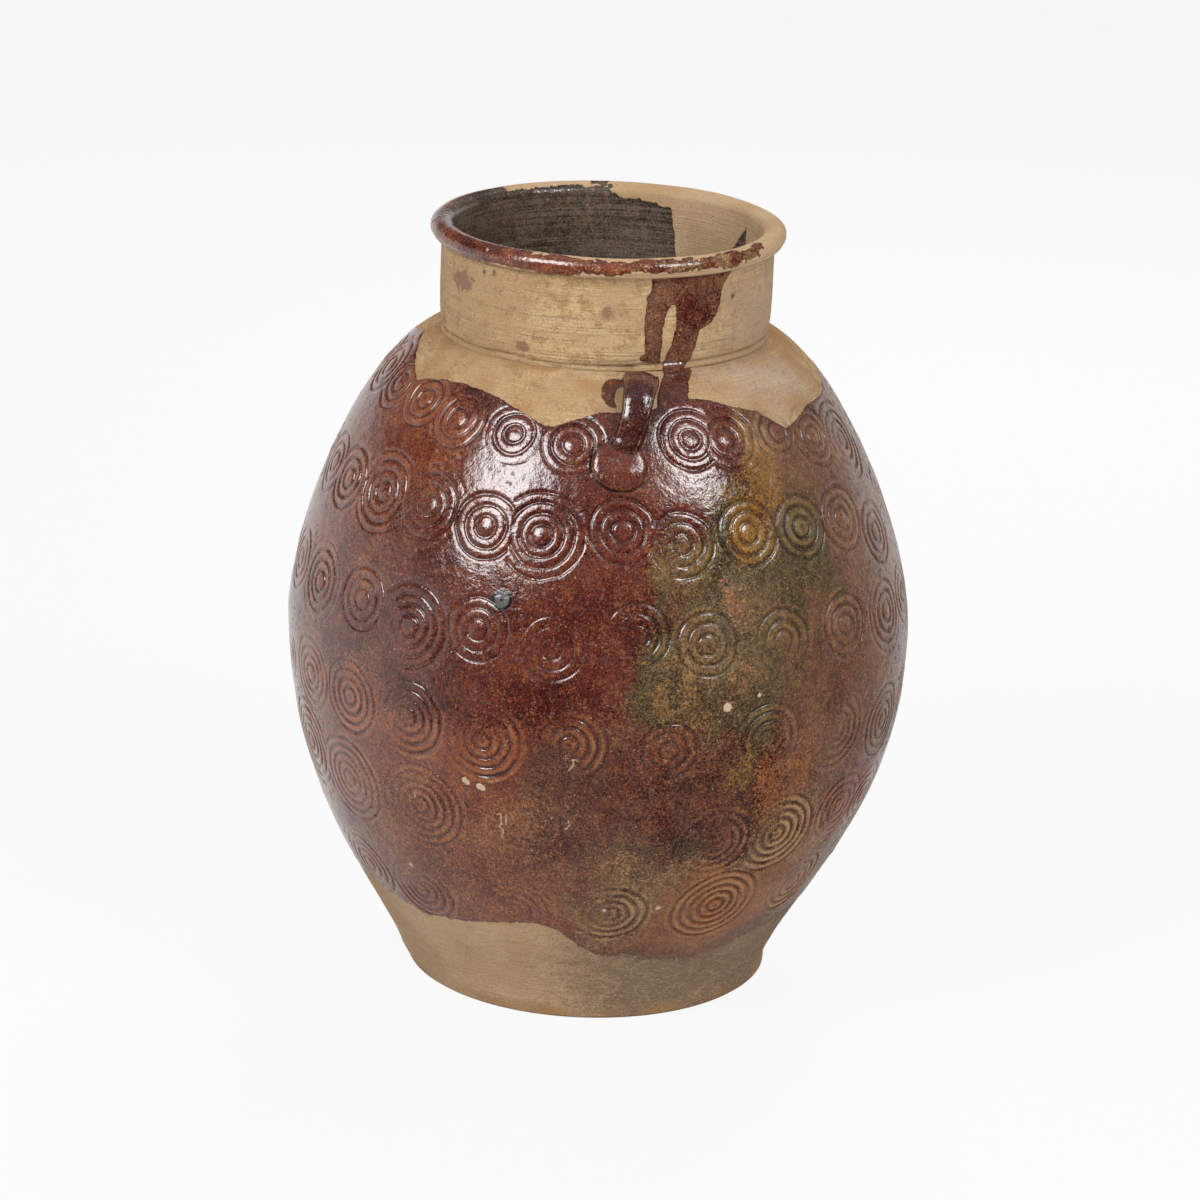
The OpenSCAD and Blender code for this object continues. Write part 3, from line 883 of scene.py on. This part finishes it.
def rimOutline():
    roll = np.radians(np.linspace(-90, 90, round(math.pi * neck["bead"] / rim["row"])))
    lip = np.radians(np.linspace(90, 180, 15))[1:]
    bead = beadCentre + neck["bead"] * np.stack([np.cos(roll), np.sin(roll)], -1)
    inner = beadCentre + np.stack([(beadCentre[0] - bore) * np.cos(lip), neck["bead"] * np.sin(lip)], -1)
    return [(bore, rimSeat), *bead, *inner, (bore, (rimSeat + inner[-1][1]) / 2), (bore, rimSeat)]


def dressRim(piece):
    points = pointsOf(piece)
    radius, angle, z = np.hypot(points[:, 0], points[:, 1]), around(points), points[:, 2]
    seen = apart(angle, stamps["turn"])
    section = np.degrees(np.arctan2(z - beadCentre[1], radius - beadCentre[0]))
    far = np.abs(apart(seen, 180))
    loose = ease(z, rimSeat + 0.5, rimSeat + 4)
    wave = rim["unevenness"] * (grain(points, 38, 4.4) + 0.4 * grain(points, 11, 7.3)) * loose
    nick = 0.35 * np.clip(grain(points, 3.2, 6.2) - 0.45, 0, 1) * loose
    fold = 0.75 * np.exp(-((section + 30 + 6 * grain(points, 30, 1.4)) / 7) ** 2) * ease(far, 60, 110)
    pushOut(points, wave - nick - fold, radius > bore + 0.2)
    points[:, 2] += (0.35 * grain(points, 45, 2.7) - 0.3) * ease(z, rimSeat + 3, rimTop)
    movePoints(piece, wandered(points))
    ragged = 5 * grain(points * (0.6, 0.6, 1.3), 7, 3.1) + 3 * grain(points, 2.6, 8.8)
    front = np.minimum(62 - seen, seen + 118) * 0.4
    roll = np.minimum(front, (70 - section) * 0.12) + ragged * 0.8
    lowEnd = np.interp(seen, (-80, -30, 10, 60), (-72, -50, -18, -6))
    roll = np.minimum(roll, (section - lowEnd) * 0.12 + ragged * 0.7)
    back = np.minimum((seen % 360 - 181) * 0.6, (338 - seen % 360) * 0.3) + ragged
    back = np.where(section > 15, back, -6)
    # A bare patch on the back-left of the rim top, where the glaze is left off to show the lighter clay: partly wiped
    # glaze, partly a painted highlight for the gleam on the rim's back top
    wipedAndGlint = 7 - 0.55 * np.abs(apart(seen, -158)) + 0.06 * (section - 60)
    back = np.minimum(back, -wipedAndGlint + ragged * 0.6)
    inwards = section % 360
    lipEdge = np.where(inwards < 270, (inwards - 108) * 0.13, -30) + 0.25 * ragged
    innerDepth = np.minimum(innerGlazeDepth(angle, z, points), lipEdge)
    innerDepth = innerDepth - 3.5 * np.clip(wipedAndGlint, 0, 1) * (inwards < 150)
    keep(piece, "glaze", np.maximum(np.maximum(roll, back), innerDepth))
    keep(piece, "inner", np.where(inwards < 270, ease(inwards, 95, 125), 0) * ease(far, 125, 80))
    keep(piece, "thrown", np.full(len(z), 0.4))
    keep(piece, "dull", np.full(len(z), 0.75))
    keep(piece, "wornAndSheen", np.clip(0.55 + 0.6 * grain(points, 9, 5.9), 0, 1) * ease(far, 40, 80))
    keep(piece, "matt", np.clip(0.5 * grain(points, 14, 4.9), 0, 1))
    keep(piece, "tan", np.clip(0.30 + 0.6 * grain(points, 8, 1.9), 0, 1) * ease(seen, -50, 45))


roll = turnedPiece("rim_roll_glazed", rimOutline())
dressRim(roll)
finishPiece(roll, "rim_roll", jarSkin)
print("neck and rim made")

# ---------------------------------------------------------------- the lugs
def strapPiece():
    # a flat ring of clay drawn out into a long strip, which is then bent into the arch
    bpy.ops.object.select_all(action="DESELECT")
    bpy.ops.mesh.primitive_circle_add(vertices=lug["around"], radius=mm, fill_type="NGON")
    piece = bpy.context.object
    bpy.ops.object.mode_set(mode="EDIT")
    bpy.ops.mesh.select_all(action="SELECT")
    for station in range(lug["stations"]):
        bpy.ops.mesh.extrude_region_move(TRANSFORM_OT_translate={"value": (0, 0, mm)})
    bpy.ops.mesh.select_all(action="SELECT")
    bpy.ops.mesh.normals_make_consistent(inside=False)
    bpy.ops.object.mode_set(mode="OBJECT")
    points = pointsOf(piece)
    along = np.clip(points[:, 2] / lug["stations"], 0, 1)
    turn = np.arctan2(points[:, 1], points[:, 0])
    sweep = np.radians(-15 + 210 * along)
    spread = np.interp(np.cos(sweep), (-1, 1), (lug["lowWidth"], lug["topWidth"])) / 2
    spread = spread * (1 + 0.10 * ease(along, 0.8, 1.0) + 0.05 * ease(along, 0.2, 0.0))
    power = 0.36
    across = np.sign(np.cos(turn)) * np.abs(np.cos(turn)) ** power
    deep = np.sign(np.sin(turn)) * np.abs(np.sin(turn)) ** 0.62
    top = deep > 0
    share = np.abs(across)
    lift = lug["thick"] / 2 * deep
    lip = lug["lip"] * np.exp(-((share - 0.9) / 0.08) ** 2) * (1 + 0.3 * across)
    crease = np.sin((along - 0.79) * 70 + 1.2 * across) * ease(along, 0.76, 0.82) * ease(along, 0.97, 0.9)
    lift = lift + np.where(top, lip + lug["bulge"] * (1 - share ** 2) + lug["folds"] * crease - 1.2, 0)
    mid = lug["thick"] / 2
    reach, rise = lug["half"] - mid + lift, lug["rise"] - mid + lift
    drift = lug["drift"] * ease(along, 0.62, 1.0)
    fall, arch = np.cos(sweep), np.sin(sweep)
    fall = np.where(fall < 0, -np.abs(fall) ** lug["square"], fall)
    arch = np.where(fall < 0, np.sign(arch) * np.abs(arch) ** lug["square"], arch)
    ending = lug["foot"] * np.clip((along - 0.72) / 0.2, 0, 1.4) ** 2
    web = 1 + lug["flare"] * ease(-deep, -0.2, 1) * ease(along, 0.5, 0.9)
    local = np.stack([across * spread * web + drift + lug["shift"], reach * fall - ending, rise * arch], -1)
    local[:, 1] += lug["slant"] * local[:, 2] - lug["down"]
    local += 0.45 * np.stack([grain(local, 9, k) for k in (1.1, 4.3, 7.9)], -1)
    lipWear = np.where(top, np.exp(-((share - 0.9) / 0.07) ** 2), 0) * (0.5 + 0.5 * grain(local, 6, 2))
    keep(piece, "edge", 0.5 * lipWear)
    thinTop = np.exp(-((along - 0.37) / 0.06) ** 2) * top
    keep(piece, "deep", 0.95 - 0.70 * thinTop)
    keep(piece, "dusk", 0.6 * thinTop)
    keep(piece, "matt", 0.6 * thinTop)
    movePoints(piece, carried(local, lugFrame))
    return piece


def padPiece():
    # a ball of clay, pressed flat on the wall with a thumb
    bpy.ops.object.select_all(action="DESELECT")
    bpy.ops.mesh.primitive_uv_sphere_add(segments=120, ring_count=80, radius=mm)
    piece = bpy.context.object
    ball = pointsOf(piece)
    rise = np.arcsin(np.clip(ball[:, 2], -1, 1))
    turn = np.arctan2(ball[:, 1], ball[:, 0])
    share = np.cos(rise) ** 0.8
    outline = padOutline(turn)
    x, y = share * outline * np.cos(turn), share * outline * np.sin(turn)
    run = padRun + y
    angle = math.radians(padTurn) + x / onFace(run)[:, 0]
    dome = np.sqrt(1 - share ** 5)
    thumb = 0.8 * np.exp(-(((x - 3) / 7) ** 2 + ((y + 5) / 7) ** 2))
    thumb -= 0.7 * np.exp(-(((x + 5) / 6) ** 2 + ((y - 4) / 7) ** 2))
    height = np.where(ball[:, 2] > 0, (lug["padHeight"] + thumb) * dome - 0.4, -lug["padSunk"])
    place = onFace(run) + height[:, None] * outwards(run)
    points = np.stack([place[:, 0] * np.sin(angle), -place[:, 0] * np.cos(angle), place[:, 1]], -1)
    points += 0.25 * np.stack([grain(points, 7, k) for k in (2.1, 5.3, 8.9)], -1)
    movePoints(piece, points)
    side = np.clip(0.62 - 0.28 * np.sin(turn) - 0.46 * np.cos(turn), 0, 1)
    keep(piece, "crack", ease(share, 0.975, 0.995) * ease(side, 0.1, 0.6))
    keep(piece, "edge", 0.4 * ease(share, 0.88, 0.95) * (0.5 + 0.5 * grain(points, 5, 1)))
    keep(piece, "deep", np.full(len(points), 0.30))
    return piece


def dressLug(piece, name, node):
    piece.name = piece.data.name = name
    bpy.ops.object.select_all(action="DESELECT")
    piece.select_set(True)
    bpy.context.view_layer.objects.active = piece
    bpy.ops.object.transform_apply(location=True, rotation=True, scale=True)
    count = len(piece.data.vertices)
    keep(piece, "glaze", np.full(count, 12.0))
    movePoints(piece, wandered(pointsOf(piece)))
    finishPiece(piece, node, jarSkin, 80)


for side, turn in (("front", 0), ("rear", math.pi)):
    for form, make in (("strap", strapPiece), ("pad", padPiece)):
        made = make()
        made.data.transform(Matrix.Rotation(turn, 4, "Z"))
        dressLug(made, f"{side}_lug_{form}_glazed", f"{side}_lug_{form}")
print("lugs made")

# ---------------------------------------------------------------- camera and light
sight = dict(distance=2800, height=1160.5, aside=1.66, tilt=0.316, focal=4520.3, frame=1200,
             roll=1.98, azimuth=-7.5, sensor=36)


def placeCamera():
    lens = bpy.data.cameras.new("sight")
    lens.sensor_width = sight["sensor"]
    lens.lens = sight["focal"] / sight["frame"] * sight["sensor"]
    lens.clip_start, lens.clip_end = 0.1, 50
    camera = bpy.data.objects.new("sight", lens)
    scene.collection.objects.link(camera)
    place = Matrix.Translation(Vector((sight["aside"], -sight["distance"], sight["height"])) * mm)
    look = Matrix.Rotation(math.pi / 2 - sight["tilt"], 4, "X")
    lean = Matrix.Rotation(math.radians(sight["roll"]), 4, "Z")
    camera.matrix_world = Matrix.Rotation(math.radians(sight["azimuth"]), 4, "Z") @ place @ look @ lean
    scene.camera = camera


placeCamera()

# Each lamp: turn and height as the camera sees it in degrees, distance, width, height in metres, watts
lamps = dict(
    left=(-44, 37, 2.2, 0.92, 1.10, 37),
    right=(50, 42, 2.2, 0.52, 0.66, 15),
    back=(166, 34, 2.4, 1.3, 0.9, 34),
    front=(30, 10, 3.0, 2.6, 1.5, 43),
)
unseenLamps = ("front", "back")   # lights the jar, but doesn't shine in its glaze
lampAim = Vector((0, 0, 0.3))


def placeLamp(name, turn, rise, distance, width, height, watts):
    lamp = bpy.data.lights.new(name, "AREA")
    lamp.shape, lamp.size, lamp.size_y, lamp.energy = "RECTANGLE", width, height, watts
    holder = bpy.data.objects.new(name, lamp)
    scene.collection.objects.link(holder)
    a, e = math.radians(turn + sight["azimuth"]), math.radians(rise)
    away = Vector((math.sin(a) * math.cos(e), -math.cos(a) * math.cos(e), math.sin(e)))
    facing = away.to_track_quat("Z", "Y").to_matrix().to_4x4()
    holder.matrix_world = Matrix.Translation(lampAim + away * distance) @ facing
    holder.visible_glossy = name not in unseenLamps


for name, values in lamps.items():
    placeLamp(name, *values)


studio = dict(
    fill=0.24, floorTone=0.62, floorWhite=0.9,
    # what the glaze mirrors: a bright sweep behind the jar, a dim room before it, a dark ceiling
    sweep=0.9, room=0.03, ceiling=0.05, low=0.06, high=0.34, roomEnd=-0.50,
    sweepStart=0.40, aslant=0.45, zenith=0.32, zenithLow=0.42, zenithHigh=0.88,
)


def mirrored(f, place):   # the brightness of the sweep and the room, by how far back a place lies
    across = f.node("ShaderNodeSeparateXYZ", {}, {0: place}, "X")
    depth = f.node("ShaderNodeSeparateXYZ", {}, {0: place}, "Y") - studio["aslant"] * across
    return f.blend(studio["room"], studio["sweep"], f.step(depth, studio["roomEnd"], studio["sweepStart"]))


def studioWorld():   # white to the camera, soft and plain for the rest
    scene.world = bpy.data.worlds.new("studio")
    f = Finish(scene.world, Color=paint(1, 1, 1))
    toward = f.node("ShaderNodeTexCoord", {}, {}, "Generated")
    height = f.node("ShaderNodeSeparateXYZ", {}, {0: toward}, "Z")
    above = f.blend(studio["ceiling"], studio["zenith"], f.step(height, studio["zenithLow"], studio["zenithHigh"]))
    shine = f.blend(mirrored(f, toward), above, f.step(height, studio["low"], studio["high"]))
    level = f.blend(f.blend(studio["fill"], shine, f.ray("Is Glossy Ray")), 1.0, f.ray("Is Camera Ray"))
    f.put("Strength", level)


def studioFloor():
    bpy.ops.object.select_all(action="DESELECT")
    bpy.ops.mesh.primitive_plane_add(size=14, location=(0, 0, 0))
    floor = bpy.context.object
    floor.name = "floor"
    tone = studio["floorTone"]
    f = Finish(bpy.data.materials.new("paleFloor"), Base_Color=paint(tone, tone, tone), Roughness=0.9,
               Specular_IOR_Level=0.1)
    glossy = f.ray("Is Glossy Ray")
    glow = f.node("ShaderNodeEmission", {}, {"Strength": f.blend(1.0, mirrored(f, f.place), glossy)})
    share = f.ray("Is Camera Ray") * studio["floorWhite"] + glossy
    both = f.node("ShaderNodeMixShader", {}, {0: share, 1: Wire(f, f.shader.outputs[0]), 2: glow})
    f.tree.links.new(both.socket, f.tree.nodes["Material Output"].inputs[0])
    floor.data.materials.append(f.owner)


studioWorld()
studioFloor()
scene.view_settings.view_transform = "Standard"
print("camera, lamps and floor placed")
